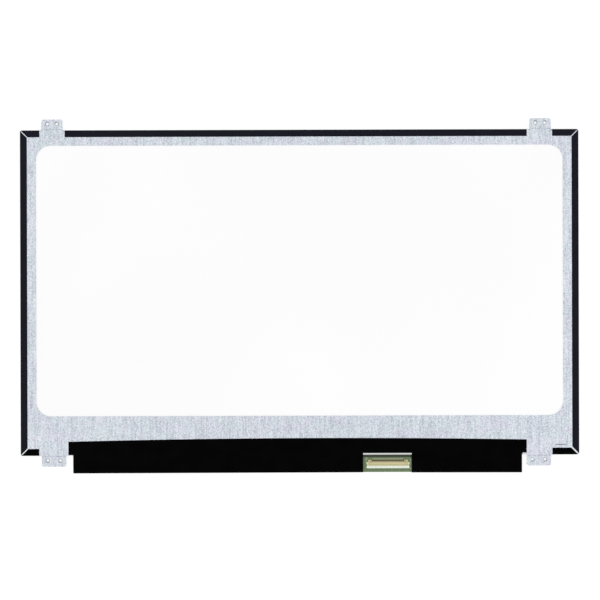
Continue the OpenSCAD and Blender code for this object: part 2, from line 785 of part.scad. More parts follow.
// Chip that drives the light diodes
module led_driver_chip() {
  color("black") flat_chip(driver_x, board_mid_y, gamma_w, gamma_w, small_part_h);
}

// Chip that holds the panel's settings
module memory_chip() {
  color("black") flat_chip(memory_x, board_mid_y, memory_w, memory_d, small_part_h);
}

// Shielded coils of the light driver and of the board's supply
module power_inductors() {
  color("dimgray") for (x = inductor_x) translate([x, board_mid_y, board_back_z]) {
    linear_extrude(inductor_base_h)
      soft_panel(-inductor_w / 2, inductor_w / 2, -inductor_w / 2, inductor_w / 2, inductor_r);
    cylinder(d = inductor_core_d, h = part_h);
    translate([0, 0, part_h - inductor_base_h]) cylinder(d = inductor_rim_d, h = inductor_base_h);
  }
}

module ceramic_capacitors() {
  color("burlywood") {
    for (i = [0:cap_count - 1], y = [board_top - cap_edge, board_bottom + cap_edge])
      capped_part(cap_x + i * cap_pitch, y, cap_l, cap_w, cap_w);
    for (side = [-1, 1], row = [-1:1])
      capped_part(timing_x + side * (timing_w / 2 + cap_l), board_mid_y + row * small_cap_pitch,
        small_cap_l, small_cap_w, small_cap_w);
  }
}

module chip_resistors() {
  color("darkslategray") for (i = [0:resistor_count - 1])
    capped_part(resistor_x + i * resistor_pitch, board_mid_y, small_cap_l, small_cap_w, resistor_h);
}

// Small socket that takes the tail of the diodes' strip
module backlight_socket() {
  top_z = board_back_z + part_h;
  color("ivory") difference() {
    block(tail_x - light_socket_w / 2, tail_x + light_socket_w / 2,
      light_socket_y - light_socket_d, light_socket_y, board_back_z, top_z);
    block(tail_x - tail_w / 2 - led_play, tail_x + tail_w / 2 + led_play,
      light_socket_y - tail_plug - led_play, light_socket_y + bite,
      tail_z, tail_z + led_flex_t + led_play);
    // Step in the top, where the lock bar folds down
    block(tail_x - tail_w / 2 - led_play, tail_x + tail_w / 2 + led_play,
      light_socket_y - light_socket_d / 2, light_socket_y + bite, top_z - lock_h, top_z + bite);
  }
}

// Height of the cover tape's upper edge above the body's lower edge, for u from 0 to 1
function cover_rise(u) =
  cover_rise_left + (cover_rise_right - cover_rise_left) * u + 4 * cover_crown * u * (1 - u);

// Tape over the board, seen from the back: wide on the plate, narrower over the board
module cover_outline() {
  left = cover_left - cover_wing;
  right = cover_right + cover_wing;
  polygon(concat(
    [[cover_right, body_bottom + cover_fold], [cover_right, body_bottom + cover_step_right],
      [right, body_bottom + cover_step_right]],
    [for (i = [cover_steps:-1:0])
      [left + (right - left) * i / cover_steps, body_bottom + cover_rise(i / cover_steps)]],
    [[left, body_bottom + cover_step_left], [cover_left, body_bottom + cover_step_left],
      [cover_left, body_bottom + cover_fold]]
  ));
}

// Space under the tape over the board, grown by g: a low tent with steep sides
module cover_tent(g) {
  low = board_z - (g > 0 ? 0 : bite);
  intersection() {
    along_x(cover_left - bite, cover_right + bite) polygon([
      [g > 0 ? body_bottom : body_bottom + cover_fold + bite, low],
      [g > 0 ? body_bottom : body_bottom + cover_fold + bite, back_z],
      [body_bottom + cover_fold, back_z],
      [body_bottom + cover_fold, back_z + g],
      [cover_ramp_y, tent_z + g],
      [board_bottom - g / 2, tent_z + g],
      [cover_bottom + tape_t - g, board_z],
      [cover_bottom + tape_t - g, low]
    ]);
    along_y(cover_bottom - bite, body_bottom + 2 * bite) polygon([
      [cover_left + tape_t - g, low],
      [cover_left + tape_t - g, board_z],
      [board_left - g / 2, tent_z + g],
      [board_left - g / 2, back_z + bite],
      [board_right + g / 2, back_z + bite],
      [board_right + g / 2, tent_z + g],
      [cover_right - tape_t + g, board_z],
      [cover_right - tape_t + g, low]
    ]);
  }
}

// What is missing below the cover tape's slightly bent hem
module below_hem() {
  polygon([
    [cover_left - bite, board_bottom - hem_left + hem_corner + bite],
    [cover_left + hem_corner, board_bottom - hem_left],
    [window_left, board_bottom - hem_by_window_left],
    [window_right, board_bottom - hem_by_window_right],
    [cover_right, cover_bottom],
    [cover_right + bite, cover_bottom],
    [cover_right + bite, cover_bottom - bite],
    [cover_left - bite, cover_bottom - bite]
  ]);
}

// Black tape that hides the board, with a window at the cable socket
module cover_tape() {
  color([0.03, 0.03, 0.03]) difference() {
    union() {
      layer(back_z, tape_t) cover_outline();
      difference() {
        cover_tent(tape_t);
        cover_tent(0);
      }
    }
    block(window_left, window_right, cover_bottom - bite, body_bottom + window_rise,
      board_z - bite, tape_back_z + bite);
    layer(board_z - bite, tape_back_z - board_z + 2 * bite) below_hem();
  }
}

// Black tape on the screen side, from the polarizer's lower edge over the films to the board
module front_cover_tape() {
  side = front_tape_w + front_seam;
  low_y = front_tape_w + front_seam;
  front_z = board_z - flex_t - tape_t;
  color([0.03, 0.03, 0.03]) {
    layer(0, tape_t) {
      panel(body_left + side, body_right - side, body_bottom + low_y,
        body_bottom + front_cover_h);
      panel(body_left + corner_tape_l("left") + front_seam,
        body_right - corner_tape_l("right") - front_seam,
        body_bottom + tape_t, body_bottom + low_y + bite / 2);
    }
    along_x(cover_left, cover_right) polygon([
      [body_bottom + tape_t, 0], [body_bottom + tape_t, tape_t],
      [body_bottom - cover_fold, tape_t],
      [front_ramp_y, front_z + tape_t],
      [front_step_y, front_z + tape_t],
      [front_step_y - front_ramp_l, board_z],
      [board_bottom, board_z], [board_bottom, board_z - tape_t],
      [front_step_y - front_ramp_l, board_z - tape_t],
      [front_step_y, front_z],
      [front_ramp_y, front_z],
      [body_bottom - cover_fold, 0]
    ]);
  }
}

// Section of an edge tape: a leg on the back, one round the edge and one on the screen side
module tape_section() {
  panel(0, edge_tape_w, back_z, tape_back_z);
  panel(0, tape_t, 0, tape_back_z);
  panel(0, front_tape_w, 0, tape_t);
}

// Distance that a tape's end is cut back at y: mitred beside a slit, or square where the slit is 0
function cut_back(slit, y) = slit > 0 ? slit / sqrt(2) + y : 0;

// Edge tape from x0 to x1, with the width of the corner slit at each end
module edge_tape(x0, x1, start_slit, end_slit) {
  reach = max(edge_tape_w, front_tape_w) + bite;
  intersection() {
    along_x(x0, x1) tape_section();
    layer(-bite, tape_back_z + 2 * bite) polygon([
      [x0 + cut_back(start_slit, -bite), -bite],
      [x1 - cut_back(end_slit, -bite), -bite],
      [x1 - cut_back(end_slit, reach), reach],
      [x0 + cut_back(start_slit, reach), reach]
    ]);
  }
}

// Tape along the upper edge, cut away round the two tabs
module top_edge_tape() {
  color([0.13, 0.12, 0.16]) at_edge("top") difference() {
    edge_tape(0, body_w, mitre_slit, mitre_slit);
    for (i = [0, 1]) {
      middle = tabs[i][1] + tape_shift[i] - body_left;
      half = tabs[i][2] / 2 + tape_relief;
      block(middle - half, middle + half, -bite, edge_tape_w + bite, tab_z - rim_gap,
        tape_back_z + bite);
    }
  }
}

module left_edge_tape() {
  color([0.13, 0.12, 0.16]) at_edge("left") edge_tape(0, body_h, mitre_slit, mitre_slit);
}

module right_edge_tape() {
  color([0.13, 0.12, 0.16]) at_edge("right") edge_tape(0, body_h, wide_slit, mitre_slit);
}

// Length of the tape between a lower corner and the tab next to it
function corner_tape_l(side) = (side == "left" ? lower_left_tab + tape_shift[2]
  : lower_right_tab - tape_shift[3]) - lower_tab_w / 2 - tape_relief;

module lower_left_tape() {
  color([0.03, 0.03, 0.03]) at_edge("bottom") edge_tape(0, corner_tape_l("left"), mitre_slit, 0);
}

module lower_right_tape() {
  color([0.03, 0.03, 0.03]) at_edge("bottom")
    edge_tape(body_w - corner_tape_l("right"), body_w, 0, wide_slit);
}

back_plate();
reflector_sheet();
light_guide();
diffuser_sheet();
lower_prism_sheet();
upper_prism_sheet();
moulded_frame();
led_flex();
light_diodes();
rim_tape();
rear_polarizer();
array_glass();
filter_glass();
front_polarizer();
driver_chips();
driver_flexes();
circuit_board();
socket_housing();
socket_shell();
socket_contacts();
timing_chip();
gamma_chip();
led_driver_chip();
memory_chip();
power_inductors();
ceramic_capacitors();
chip_resistors();
backlight_socket();
cover_tape();
front_cover_tape();
top_edge_tape();
left_edge_tape();
right_edge_tape();
lower_left_tape();
lower_right_tape();
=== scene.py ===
import json
import math

import bpy
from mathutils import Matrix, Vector


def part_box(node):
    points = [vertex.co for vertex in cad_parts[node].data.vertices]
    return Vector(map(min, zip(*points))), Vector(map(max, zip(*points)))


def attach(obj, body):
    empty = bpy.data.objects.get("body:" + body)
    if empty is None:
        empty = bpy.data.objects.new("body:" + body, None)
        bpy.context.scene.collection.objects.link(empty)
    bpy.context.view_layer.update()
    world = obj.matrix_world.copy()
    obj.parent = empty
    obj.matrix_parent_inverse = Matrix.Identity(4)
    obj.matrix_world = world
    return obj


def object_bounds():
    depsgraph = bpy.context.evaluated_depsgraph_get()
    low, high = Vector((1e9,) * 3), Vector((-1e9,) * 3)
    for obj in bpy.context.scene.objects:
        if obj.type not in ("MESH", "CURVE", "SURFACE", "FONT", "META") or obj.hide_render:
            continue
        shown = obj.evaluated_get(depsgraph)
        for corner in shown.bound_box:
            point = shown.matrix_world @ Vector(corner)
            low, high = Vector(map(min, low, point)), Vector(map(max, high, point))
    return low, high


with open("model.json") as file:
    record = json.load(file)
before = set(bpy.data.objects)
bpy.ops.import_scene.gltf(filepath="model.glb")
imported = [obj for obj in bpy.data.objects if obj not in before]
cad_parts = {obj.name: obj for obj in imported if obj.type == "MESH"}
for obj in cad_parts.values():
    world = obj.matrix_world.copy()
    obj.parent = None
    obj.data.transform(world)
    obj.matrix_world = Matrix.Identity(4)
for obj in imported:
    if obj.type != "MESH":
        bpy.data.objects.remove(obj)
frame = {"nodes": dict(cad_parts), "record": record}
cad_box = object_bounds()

MM = 0.001
nodes = frame["nodes"]
socket_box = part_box("socket_housing")
shell_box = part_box("socket_shell")
contact_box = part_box("socket_contacts")
board_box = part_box("circuit_board")
plate_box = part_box("back_plate")


# Material helpers

class Graph:
    """A material whose shader is built from named nodes in object coordinates."""

    def __init__(self, name):
        self.material = bpy.data.materials.new(name)
        self.material.use_nodes = True
        self.tree = self.material.node_tree
        self.shader = self.tree.nodes["Principled BSDF"]
        self.coordinates = self.tree.nodes.new("ShaderNodeTexCoord").outputs["Object"]

    def node(self, kind, **settings):
        made = self.tree.nodes.new(kind)
        for key, value in settings.items():
            setattr(made, key, value)
        return made

    def link(self, source, target):
        self.tree.links.new(source, target)

    def feed(self, socket, value):
        """Gives a socket a number, a colour, or the output of another node."""
        if isinstance(value, (int, float)):
            socket.default_value = value
        elif isinstance(value, tuple):
            socket.default_value = (*value, 1.0)
        else:
            self.link(value, socket)

    def set(self, **values):
        """Sets sockets of the shader, such as base_color or specular_ior_level."""
        for key, value in values.items():
            self.feed(self.shader.inputs[key.replace("_", " ").title().replace("Ior", "IOR")], value)

    def stretched(self, scale):
        """Object coordinates in which features are 1/scale metres wide along X, Y and Z."""
        mapping = self.node("ShaderNodeMapping")
        mapping.inputs["Scale"].default_value = scale
        self.link(self.coordinates, mapping.inputs["Vector"])
        return mapping.outputs["Vector"]

    def noise(self, scale, detail=3.0, roughness=0.55):
        made = self.node("ShaderNodeTexNoise")
        made.inputs["Scale"].default_value = 1.0
        made.inputs["Detail"].default_value = detail
        made.inputs["Roughness"].default_value = roughness
        self.link(self.stretched(scale), made.inputs["Vector"])
        return made.outputs["Fac"]

    def cells(self, scale):
        made = self.node("ShaderNodeTexVoronoi")
        made.inputs["Scale"].default_value = 1.0
        self.link(self.stretched(scale), made.inputs["Vector"])
        return made.outputs["Color"]

    def math(self, operation, *values):
        made = self.node("ShaderNodeMath", operation=operation)
        for socket, value in zip(made.inputs, values):
            self.feed(socket, value)
        return made.outputs[0]

    def blend(self, *weighted):
        """Weighted sum of sources, given as (source, weight)."""
        total = 0.0
        for source, weight in weighted:
            total = self.math("MULTIPLY_ADD", source, weight, total)
        return total

    def ramp(self, source, *stops):
        """Colour ramp with stops as (place, colour)."""
        made = self.node("ShaderNodeValToRGB")
        elements = made.color_ramp.elements
        for i, (place, colour) in enumerate(stops):
            element = elements[i] if i < 2 else elements.new(place)
            element.position = place
            element.color = (*colour, 1.0)
        self.link(source, made.inputs["Fac"])
        return made.outputs["Color"]

    def spread(self, source, low, high, start=0.3, end=0.7):
        """Maps source from start..end to low..high."""
        made = self.node("ShaderNodeMapRange")
        for name, value in (("From Min", start), ("From Max", end), ("To Min", low), ("To Max", high)):
            made.inputs[name].default_value = value
        self.link(source, made.inputs["Value"])
        return made.outputs["Result"]

    def mix(self, factor, first, second, blend="MIX"):
        made = self.node("ShaderNodeMix", data_type="RGBA", blend_type=blend)
        for socket, value in zip((made.inputs[0], made.inputs[6], made.inputs[7]), (factor, first, second)):
            self.feed(socket, value)
        return made.outputs[2]

    def inside(self, axis, low, high, soft=0.1 * MM):
        """1 where the axis lies between low and high, falling to 0 over the soft distance."""
        split = self.node("ShaderNodeSeparateXYZ")
        self.link(self.coordinates, split.inputs[0])
        rise = self.spread(split.outputs[axis], 0.0, 1.0, low - soft, low)
        fall = self.spread(split.outputs[axis], 1.0, 0.0, high, high + soft)
        return self.math("MULTIPLY", rise, fall)

    def around(self, x, y, inner, outer):
        """1 within inner metres of the upright line at x and y, falling to 0 at outer."""
        flat = self.node("ShaderNodeVectorMath", operation="MULTIPLY")
        flat.inputs[1].default_value = (1.0, 1.0, 0.0)
        self.link(self.coordinates, flat.inputs[0])
        reach = self.node("ShaderNodeVectorMath", operation="DISTANCE")
        reach.inputs[1].default_value = (x, y, 0.0)
        self.link(flat.outputs["Vector"], reach.inputs[0])
        return self.spread(reach.outputs["Value"], 1.0, 0.0, inner, outer)

    def bump(self, source, height, strength=1.0):
        """Bump whose full range of source is height metres high."""
        made = self.node("ShaderNodeBump")
        made.inputs["Strength"].default_value = strength
        made.inputs["Distance"].default_value = height
        self.link(source, made.inputs["Height"])
        if self.shader.inputs["Normal"].links:
            self.link(self.shader.inputs["Normal"].links[0].from_socket, made.inputs["Normal"])
        self.link(made.outputs["Normal"], self.shader.inputs["Normal"])

    def colour(self, source):
        self.link(source, self.shader.inputs["Base Color"])

    def roughness(self, source):
        self.link(source, self.shader.inputs["Roughness"])


def rgb(red, green, blue):
    """Linear colour from the 0 to 255 values that it shows as."""
    def linear(value):
        value /= 255
        return value / 12.92 if value <= 0.04045 else ((value + 0.055) / 1.055) ** 2.4
    return tuple(linear(v) for v in (red, green, blue))


def tab_holes():
    """Middle of each tab hole, and the way its tab points along Y."""
    found = []
    for mount in frame["record"]["mounts"]:
        if mount["kind"] == "bolt_pattern":
            x, y, z = mount["pos_m"]
            step = mount["dims"]["spacing_x_mm"] * MM / 2
            found += [(x + side * step, y, 1 if y > 0 else -1) for side in (-1, 1)]
    return found


# Materials

RIM_R = 1.15 * MM             # radius of the painted shade round a tab hole
RIM_FADE = 0.35 * MM          # distance over which that painted shade fades
RIM_SHIFT = 0.22 * MM         # from the hole's middle to the shade's, towards the tab's end
LIP = 1.6 * MM                # edge of the plate that shows beside the cable socket
MITRE = 6.2 * MM              # length of the slit between two tapes at a corner, and the reach of the painted light there
MITRE_FADE = 0.4 * MM


def galvanised_steel():
    """Zinc-coated sheet: fine speckle, short streaks, painted shade round the tab holes.

    It is an even grey on its lip beside the cable socket; painted light brightens the slits of the lower
    corners.
    """
    g = Graph("galvanised_steel")
    g.set(metallic=0.85)
    speckle = g.noise((1250, 1150, 1250), detail=3.0, roughness=0.7)
    streak = g.noise((850, 95, 850), detail=1.0)
    mottle = g.blend((speckle, 0.76), (streak, 0.24))
    tone = g.ramp(mottle, (0.34, rgb(165, 170, 181)), (0.50, rgb(207, 212, 221)),
                  (0.66, rgb(236, 239, 244)))
    cloud = g.noise((110, 150, 110), detail=2.0)
    tint = g.ramp(cloud, (0.35, (1.0, 0.98, 1.0)), (0.65, (0.97, 1.01, 0.985)))
    colour = g.mix(1.0, tone, tint, "MULTIPLY")
    # painted shade round each tab hole, shifted towards the tab's end
    hole_shade = 0.0
    for x, y, out in tab_holes():
        hole_shade = g.math("MAXIMUM", hole_shade, g.around(x, y + RIM_SHIFT * out, RIM_R, RIM_R + RIM_FADE))
    lip = g.math("MULTIPLY", g.inside("Y", board_box[1].y, board_box[1].y + LIP),
                 g.inside("X", shell_box[0].x - 2 * LIP, shell_box[1].x + 2 * LIP))
    colour = g.mix(g.math("MULTIPLY", lip, 0.8), colour, rgb(216, 215, 215))
    # painted light in the slits between the tapes at the lower corners, where shade falls
    slit_light = 0.0
    for tape, end, amount in (("lower_left_tape", 0, 0.85), ("lower_right_tape", 1, 0.3)):
        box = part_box(tape)
        corner = g.around(box[end].x, box[0].y, MITRE, MITRE + MITRE_FADE)
        slit_light = g.math("MAXIMUM", slit_light, g.math("MULTIPLY", corner, amount))
    colour = g.mix(slit_light, colour, rgb(246, 246, 246))
    # painted shade round the tab holes
    g.colour(g.mix(g.math("MULTIPLY", hole_shade, 0.55), colour, rgb(96, 104, 112)))
    g.roughness(g.spread(mottle, 0.52, 0.38))
    g.bump(mottle, 0.012 * MM, 0.5)
    return g.material


def reflector_film():
    g = Graph("reflector_film")
    g.set(roughness=0.6, specular_ior_level=0.25)
    wave = g.noise((9, 7, 9), detail=1.0)
    g.colour(g.ramp(wave, (0.3, rgb(247, 247, 247)), (0.7, rgb(249, 249, 249))))
    g.bump(wave, 0.2 * MM, 0.1)
    return g.material


def white_moulding():
    g = Graph("white_moulding")
    g.set(specular_ior_level=0.45)
    grain = g.noise((3200, 3200, 3200), detail=2.0)
    g.colour(g.ramp(grain, (0.35, rgb(226, 226, 223)), (0.65, rgb(234, 234, 232))))
    g.roughness(g.spread(grain, 0.42, 0.55))
    g.bump(grain, 0.01 * MM, 0.4)
    return g.material


def black_tape(name, dark, light, gloss, specular, wave_h):
    """Thin film tape: faint long waves from rolling it on, and a fine even grain."""
    g = Graph(name)
    g.set(specular_ior_level=specular)
    wave = g.noise((95, 130, 95), detail=2.0)
    grain = g.noise((4200, 4200, 4200), detail=1.0)
    g.colour(g.ramp(wave, (0.35, dark), (0.65, light)))
    g.roughness(g.spread(grain, gloss, gloss + 0.12))
    g.bump(wave, wave_h, 0.25)
    g.bump(grain, 0.004 * MM, 0.5)
    return g.material


EAR_L = 0.8 * MM              # distance that the socket's ears stand out behind its contacts
LEDGE_L = 0.65 * MM           # length of the ledge between those ears
ROW_END = 0.5 * MM            # distance that the marks along the row of contacts reach past the outermost ones
PLATE_SHADOW_W = 1.2 * MM         # painted shadow of the plate on the board's edge, next to the plate
PLATE_SHADOW_FADE = 0.6 * MM


def along_contacts(g):
    """1 over the row of contacts."""
    return g.inside("X", contact_box[0].x - ROW_END, contact_box[1].x + ROW_END)


def solder_resist():
    """Green board: copper shows through faintly; painted shadow next to the plate and painted shade round
    the feet.
    """
    g = Graph("solder_resist")
    g.set(specular_ior_level=0.45)
    trace = g.cells((900, 420, 900))
    weave = g.noise((1500, 1500, 1500), detail=2.0)
    tone = g.ramp(weave, (0.35, rgb(89, 109, 74)), (0.65, rgb(105, 126, 89)))
    copper = g.ramp(trace, (0.55, (1.0, 1.0, 1.0)), (0.62, (1.14, 1.12, 1.06)))
    # painted shade on the board between the socket's ears, where the contacts enter the housing
    root_shade = g.math("MULTIPLY", g.inside("Y", socket_box[1].y - EAR_L, socket_box[1].y), along_contacts(g))
    # painted shadow cast by the plate's edge on the board
    plate_shadow = g.inside("Y", board_box[1].y - PLATE_SHADOW_W, board_box[1].y, PLATE_SHADOW_FADE)
    green = g.mix(1.0, tone, copper, "MULTIPLY")
    colour = g.mix(g.math("MULTIPLY", plate_shadow, 0.95), green, rgb(34, 41, 20))
    g.colour(g.mix(g.math("MULTIPLY", root_shade, 0.85), colour, rgb(44, 44, 30)))
    g.roughness(g.spread(weave, 0.3, 0.42))
    g.bump(trace, 0.02 * MM, 0.4)
    return g.material


PIN_SIDE = 1.65 * MM          # from the housing's side to its blind hole
PIN_BACK = 1.1 * MM           # from the housing's back to that hole
PIN_R = 0.3 * MM              # radius of the painted shade at that hole
PIN_FADE = 0.3 * MM
BAR_SHADE_L = 2.3 * MM           # reach of the painted shade on the housing, from the shell's front
BAR_FADE = 0.4 * MM


def socket_plastic():
    """Beige housing: painted shade on the ledge, beside the shell's bar and at its blind holes; a little
    darker on the ears.
    """
    g = Graph("socket_plastic")
    g.set(specular_ior_level=0.4)
    grain = g.noise((2400, 2400, 2400), detail=3.0)
    beige = g.ramp(grain, (0.35, rgb(190, 180, 137)), (0.65, rgb(206, 197, 154)))
    middle = along_contacts(g)
    ledge_y = socket_box[1].y - EAR_L
    ledge = g.math("MULTIPLY", g.inside("Y", ledge_y - LEDGE_L, ledge_y), middle)
    bar = g.inside("Y", shell_box[0].y, shell_box[0].y + BAR_SHADE_L, BAR_FADE)
    # painted shade on the ledge between the ears and beside the shell's bar
    shade_and_ears = g.math("MAXIMUM", g.math("MULTIPLY", ledge, 0.6), g.math("MULTIPLY", bar, 0.25))
    # a little darker on the ears, outside the row of contacts
    shade_and_ears = g.math("MAXIMUM", shade_and_ears, g.math("MULTIPLY_ADD", middle, -0.16, 0.16))
    # painted shade at the two blind holes
    for x in (socket_box[0].x + PIN_SIDE, socket_box[1].x - PIN_SIDE):
        pin = g.around(x, socket_box[1].y - PIN_BACK, PIN_R, PIN_R + PIN_FADE)
        shade_and_ears = g.math("MAXIMUM", shade_and_ears, g.math("MULTIPLY", pin, 0.8))
    g.colour(g.mix(shade_and_ears, beige, rgb(112, 106, 76)))
    g.roughness(g.spread(grain, 0.42, 0.55))
    g.bump(grain, 0.006 * MM, 0.5)
    return g.material


SHELL_FOOT = 0.4 * MM         # reach of the shell's two solder feet
SHELL_BRIGHT = 1.4 * MM       # bright front of the shell's bar
SHELL_FADE = 0.2 * MM
FOOT_FADE = 0.05 * MM
PAST = 1.0 * MM               # how far a band runs past the piece that it colours


def tinned_shell():
    """Bright bar along the mouth, creamy where it laps the housing, and dull solder feet."""
    g = Graph("tinned_shell")
    g.set(metallic=1.0)
    grain = g.noise((1900, 700, 1900), detail=3.0)
    tin = g.ramp(grain, (0.35, rgb(216, 222, 212)), (0.65, rgb(236, 242, 232)))
    lap = g.inside("Y", shell_box[0].y + SHELL_BRIGHT, shell_box[1].y + PAST, SHELL_FADE)
    top = g.inside("X", shell_box[0].x + SHELL_FOOT, shell_box[1].x - SHELL_FOOT, FOOT_FADE)
    body = g.mix(lap, tin, rgb(212, 214, 178))
    g.colour(g.mix(g.math("MULTIPLY_ADD", top, 0.6, 0.4), rgb(104, 110, 84), body))
    g.roughness(g.spread(grain, 0.24, 0.36))
    g.bump(grain, 0.005 * MM, 0.5)
    return g.material


ROOT_LAP = 0.1 * MM           # how far the feet's tin and the painted shade at their roots run inwards


def contact_metal():
    """Gilt in the mouth, dull tin on the soldered feet, and painted shade where they leave the housing."""
    g = Graph("contact_metal")
    g.set(metallic=0.8)
    grain = g.noise((2600, 2600, 2600), detail=2.0)
    gilt = g.ramp(grain, (0.35, rgb(206, 180, 112)), (0.65, rgb(232, 208, 140)))
    tin = g.ramp(grain, (0.35, rgb(146, 148, 122)), (0.65, rgb(176, 178, 150)))
    feet = g.inside("Y", socket_box[1].y - ROOT_LAP, contact_box[1].y + PAST)
    # painted shade where the contacts enter the housing
    tail_shade = g.inside("Y", socket_box[1].y - EAR_L - ROOT_LAP, socket_box[1].y)
    g.colour(g.mix(g.math("MULTIPLY", tail_shade, 0.8), g.mix(feet, gilt, tin), rgb(72, 66, 46)))
    g.roughness(g.spread(grain, 0.28, 0.42))
    return g.material


VIEW_W = 344.2 * MM
VIEW_H = 193.5 * MM


def polarizer_film():
    """Anti-glare film: the viewing area is a shade lighter than the black border round it."""
    g = Graph("polarizer_film")
    g.set(specular_ior_level=0.35)
    grain = g.noise((5200, 5200, 5200), detail=2.0)
    low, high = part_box("front_polarizer")
    middle = (low + high) / 2
    active = g.math("MULTIPLY", g.inside("X", -VIEW_W / 2, VIEW_W / 2),
                    g.inside("Y", middle.y - VIEW_H / 2, middle.y + VIEW_H / 2))
    g.colour(g.mix(active, rgb(8, 8, 9), rgb(17, 17, 21)))
    g.roughness(g.spread(grain, 0.28, 0.36))
    g.bump(grain, 0.003 * MM, 0.5)
    return g.material


def plain(name, dark, light, low, high, scale=2000, bump=0.006, **sockets):
    """Moulded or fired material with a fine grain in colour, roughness and relief."""
    g = Graph(name)
    g.set(**sockets)
    grain = g.noise((scale, scale, scale), detail=3.0)
    g.colour(g.ramp(grain, (0.35, dark), (0.65, light)))
    g.roughness(g.spread(grain, low, high))
    g.bump(grain, bump * MM, 0.5)
    return g.material


def clear(name, colour, roughness, alpha):
    """Thin clear sheet."""
    g = Graph(name)
    grain = g.noise((1800, 1800, 1800), detail=2.0)
    g.colour(g.ramp(grain, (0.3, tuple(0.96 * c for c in colour)), (0.7, colour)))
    g.roughness(g.spread(grain, roughness, roughness + 0.06))
    g.set(alpha=alpha)
    return g.material


materials = {
    "sheet_steel": galvanised_steel(),
    "reflector_film": reflector_film(),
    "white_moulding": white_moulding(),
    "cover_film": black_tape("cover_film", (0.0008, 0.0008, 0.0009), (0.0014, 0.0014, 0.0015),
                             0.62, 0.012, 0.12 * MM),
    "edge_film": black_tape("edge_film", (0.0042, 0.0040, 0.0098), (0.0058, 0.0056, 0.0128),
                            0.42, 0.09, 0.05 * MM),
    "circuit_laminate": solder_resist(),
    "socket_plastic": socket_plastic(),
    "tinned_shell": tinned_shell(),
    "contact_metal": contact_metal(),
    "chip_resin": plain("chip_resin", rgb(26, 26, 28), rgb(38, 38, 41), 0.45, 0.6),
    "ceramic_part": plain("ceramic_part", rgb(150, 122, 92), rgb(178, 150, 118), 0.4, 0.55),
    "coil_ferrite": plain("coil_ferrite", rgb(52, 52, 55), rgb(70, 70, 74), 0.5, 0.65),
    "flex_film": plain("flex_film", rgb(150, 98, 34), rgb(182, 126, 52), 0.25, 0.38, bump=0.003),
    "diode_case": plain("diode_case", rgb(236, 230, 190), rgb(246, 242, 214), 0.4, 0.5),
    "rim_adhesive": plain("rim_adhesive", rgb(10, 10, 11), rgb(16, 16, 17), 0.6, 0.75),
    "optical_film": clear("optical_film", rgb(238, 241, 243), 0.3, 0.8),
    "clear_acrylic": clear("clear_acrylic", rgb(236, 244, 246), 0.05, 0.5),
    "screen_glass": clear("screen_glass", rgb(220, 232, 232), 0.03, 0.4),
    "polarizer_film": polarizer_film(),
}

for part in frame["record"]["subparts"]:
    slots = nodes[part["node"]].data.materials
    slots.clear()
    slots.append(materials[part["material_slot"]])


# Details finer than the solids

def add_piece(name, vertices, faces, material):
    """Mesh that belongs to the panel and takes its finish from one of its slots."""
    mesh = bpy.data.meshes.new(name)
    mesh.from_pydata(vertices, [], faces)
    mesh.materials.append(material)
    piece = bpy.data.objects.new(name, mesh)
    bpy.context.collection.objects.link(piece)
    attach(piece, "root")


BOX_FACES = ((3, 2, 1, 0), (4, 5, 6, 7), (0, 1, 5, 4), (1, 2, 6, 5), (2, 3, 7, 6), (3, 0, 4, 7))


def plates(rectangles, bottom, thickness):
    """Vertices and faces of thin rectangles given as (left, front, right, back)."""
    vertices, faces = [], []
    for left, front, right, back in rectangles:
        first = len(vertices)
        for z in (bottom, bottom + thickness):
            vertices += [(left, front, z), (right, front, z), (right, back, z), (left, back, z)]
        faces += [tuple(first + i for i in face) for face in BOX_FACES]
    return vertices, faces


def rings(middles, profile, segments):
    """Vertices and faces of a closed profile of (radius, z) turned round each (x, y)."""
    vertices, faces = [], []
    count = len(profile)
    for x, y in middles:
        first = len(vertices)
        for i in range(segments):
            angle = 2 * math.pi * i / segments
            vertices += [(x + r * math.cos(angle), y + r * math.sin(angle), z) for r, z in profile]
        for i in range(segments):
            here = first + i * count
            there = first + (i + 1) % segments * count
            for j in range(count):
                k = (j + 1) % count
                faces.append((here + j, there + j, there + k, here + k))
    return vertices, faces


HOLE_R = 1.05 * MM
THREAD_DEPTH = 0.14 * MM
THREAD_ROOT = 0.02 * MM       # from the hole's wall to the bottom of a groove
THREAD_START = 0.92 * MM      # from the plate's back to the first thread, under the hole's flare
THREADS = 2


def add_threads():
    """Thread inside each drawn collar of the tabs, which ends level with the plate's rim."""
    top = plate_box[1].z - THREAD_START
    bottom = plate_box[0].z
    pitch = (top - bottom) / THREADS
    profile = [(HOLE_R, top), (HOLE_R, bottom)]
    for i in range(THREADS):
        profile.append((HOLE_R - THREAD_DEPTH, bottom + (i + 0.5) * pitch))
        profile.append((HOLE_R - THREAD_ROOT, bottom + (i + 0.98) * pitch))
    # dark steel; its darkness is partly painted shade inside the hole
    steel = plain("thread_steel", rgb(96, 102, 110), rgb(128, 134, 142), 0.5, 0.65, metallic=0.6)
    vertices, faces = rings([(x, y) for x, y, out in tab_holes()], profile, 32)
    add_piece("tab_threads", vertices, faces, steel)


CONTACTS = 40
CONTACT_PITCH = 0.5 * MM
PAD_W = 0.3 * MM
PAD_NEAR = 0.1 * MM           # from the contacts' ends to their pads
PAD_FAR = 1.3 * MM            # from those ends to the pads' far ends
FILM = 0.02 * MM              # thickness of solder, ink and the dark sheet of painted shade in the slit


